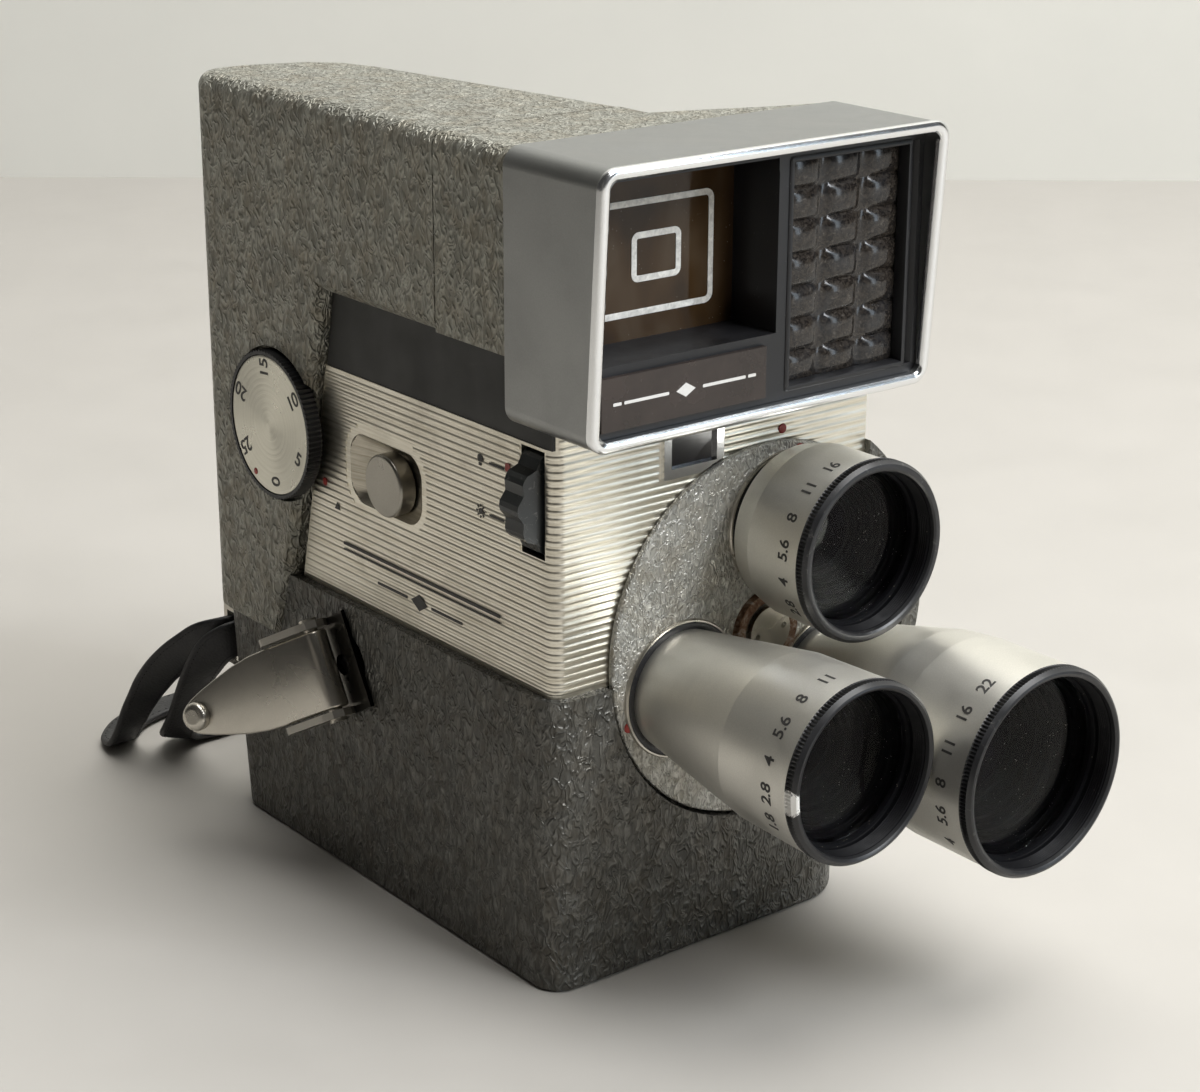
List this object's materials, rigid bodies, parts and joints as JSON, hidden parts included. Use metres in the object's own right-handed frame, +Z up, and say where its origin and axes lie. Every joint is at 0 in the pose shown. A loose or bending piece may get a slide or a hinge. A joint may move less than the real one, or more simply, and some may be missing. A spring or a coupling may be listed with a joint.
{
  "type": "cine camera",
  "caption": "Spring-wound cine camera with a lens turret, a wide light-cell hood over the viewfinder, a folding winding key and a wrist strap.",
  "frame": {"origin": "mouth of the tripod socket, in the plane of the base", "axes": "+Z up, -Y out of the front through the lenses, +X towards the film door"},
  "size_m": [0.1021, 0.1997, 0.1385],
  "materials": {
    "painted_grey": "hammertone enamel, worn at the edges",
    "satin_hood": "satin silver grey",
    "ribbed_aluminium": "fine horizontal ribs, satin",
    "satin_aluminium": "turned, satin",
    "black_enamel": "smooth black",
    "black_anodised": "matt black",
    "black_plastic": "moulded, slightly glossy",
    "brown_plastic": "smooth",
    "clear_glass": "polished",
    "amber_glass": "polished, lightly coated",
    "selenium": "dark cell with a blue sheen",
    "nickel_steel": "satin nickel",
    "steel": "turned",
    "brass": "machined",
    "aged_steel": "tarnished",
    "leather": "black, smooth",
    "amber_filter": "tinted"
  },
  "bodies": {
    "camera": {"main_casting": "painted_grey", "viewfinder_housing": "painted_grey", "front_cap": "painted_grey", "trim_plate": "ribbed_aluminium", "black_band": "black_enamel", "hood": "satin_hood", "hood_insert": "black_plastic", "name_panel": "brown_plastic", "finder_window": "amber_glass", "meter_lens": "clear_glass", "selenium_cell": "selenium", "exposure_window_frame": "satin_aluminium", "exposure_window_glass": "clear_glass", "eyepiece_ring": "black_plastic", "eyepiece_lens": "clear_glass", "tripod_bush": "steel", "strap_lug": "nickel_steel", "wrist_strap": "leather", "base_screws": "steel", "turret_spindle": "steel", "turret_hub_nut": "nickel_steel", "mechanism_plate": "steel", "aperture_plate": "steel"},
    "turret": {"turret_disc": "painted_grey", "turret_hub_ring": "aged_steel", "normal_lens_barrel": "satin_aluminium", "normal_lens_front_ring": "black_anodised", "normal_lens_glass": "clear_glass", "normal_lens_mount": "steel", "wide_lens_barrel": "satin_aluminium", "wide_lens_front_ring": "black_anodised", "wide_lens_glass": "clear_glass", "wide_lens_mount": "steel", "tele_lens_barrel": "satin_aluminium", "tele_lens_front_ring": "black_anodised", "tele_lens_glass": "clear_glass", "tele_lens_mount": "steel"},
    "film_type_wheel": {"filter_wheel": "black_plastic", "filter_flag": "steel"},
    "start_control": {"start_button": "satin_aluminium", "start_lever": "steel"},
    "footage_counter": {"footage_dial": "satin_aluminium", "dial_rim": "black_anodised"},
    "winding_key": {"key_yoke": "nickel_steel", "key_pin": "nickel_steel", "winding_shaft": "steel"},
    "key_flap": {"key_leaf": "nickel_steel", "key_thumb_stud": "nickel_steel"},
    "door": {"film_door": "painted_grey"},
    "latch": {"door_latch": "nickel_steel"},
    "motor_drum": {"spring_drum": "brass", "mainspring": "steel"},
    "intermediate": {"intermediate_wheel": "brass"},
    "shutter": {"shutter_shaft": "steel", "shutter_disc": "black_anodised"},
    "pressure_pad": {"pressure_plate": "steel"},
    "claw": {"pull_down_claw": "steel"},
    "supply_reel": {"supply_spool": "black_enamel"},
    "take_up_reel": {"take_up_spool": "black_enamel", "take_up_spindle": "steel"}
  },
  "joints": [
    {"name": "turret_turn", "type": "hinge", "parent": "camera", "child": "turret", "pos_m": [0.01, -0.05, 0.0542], "axis": [0, 1, 0], "continuous": true},
    {"name": "film_type_turn", "type": "hinge", "parent": "camera", "child": "film_type_wheel", "pos_m": [-0.0289, -0.0448, 0.0832], "axis": [0, 1, 0], "range_deg": [0, 50]},
    {"name": "start_slide", "type": "slide", "parent": "camera", "child": "start_control", "axis": [0, -1, 0], "range_m": [0, 0.0026], "stiffness_N_per_m": 500},
    {"name": "footage_turn", "type": "hinge", "parent": "camera", "child": "footage_counter", "pos_m": [-0.0329, 0.0274, 0.0793], "axis": [-1, 0, 0], "range_deg": [-30, 300]},
    {"name": "key_turn", "type": "hinge", "parent": "camera", "child": "winding_key", "pos_m": [-0.0329, 0.0075, 0.0402], "axis": [-1, 0, 0], "continuous": true},
    {"name": "key_fold", "type": "hinge", "parent": "winding_key", "child": "key_flap", "pos_m": [-0.0388, 0.00879, 0.03944], "axis": [0, 0.506, 0.8625], "range_deg": [-25, 50]},
    {"name": "door_lift_off", "type": "slide", "parent": "camera", "child": "door", "axis": [1, 0, 0], "range_m": [0, 0.04]},
    {"name": "latch_turn", "type": "hinge", "parent": "door", "child": "latch", "pos_m": [0.0329, 0, 0.06], "axis": [1, 0, 0], "range_deg": [0, 90]},
    {"name": "motor_drum_turn", "type": "hinge", "parent": "camera", "child": "motor_drum", "pos_m": [-0.0179, 0.0075, 0.0402], "axis": [1, 0, 0], "continuous": true},
    {"name": "intermediate_turn", "type": "hinge", "parent": "camera", "child": "intermediate", "pos_m": [-0.0029, -0.0195, 0.0402], "axis": [1, 0, 0], "continuous": true},
    {"name": "shutter_turn", "type": "hinge", "parent": "camera", "child": "shutter", "pos_m": [-0.0024, -0.04435, 0.062], "axis": [0, 1, 0], "continuous": true},
    {"name": "pressure_slide", "type": "slide", "parent": "camera", "child": "pressure_pad", "axis": [0, 1, 0], "range_m": [0, 0.0015], "stiffness_N_per_m": 150},
    {"name": "claw_slide", "type": "slide", "parent": "camera", "child": "claw", "axis": [0, 0, -1], "range_m": [0, 0.0038]},
    {"name": "supply_turn", "type": "hinge", "parent": "camera", "child": "supply_reel", "pos_m": [0.0151, 0.02, 0.0843], "axis": [1, 0, 0], "continuous": true},
    {"name": "take_up_turn", "type": "hinge", "parent": "camera", "child": "take_up_reel", "pos_m": [0.0151, 0.02, 0.0319], "axis": [1, 0, 0], "continuous": true}
  ],
  "couplings": [
    {"joint": "intermediate_turn", "follows": "motor_drum_turn", "ratio": -5.4286},
    {"joint": "shutter_turn", "follows": "motor_drum_turn", "ratio": 27.143}
  ]
}
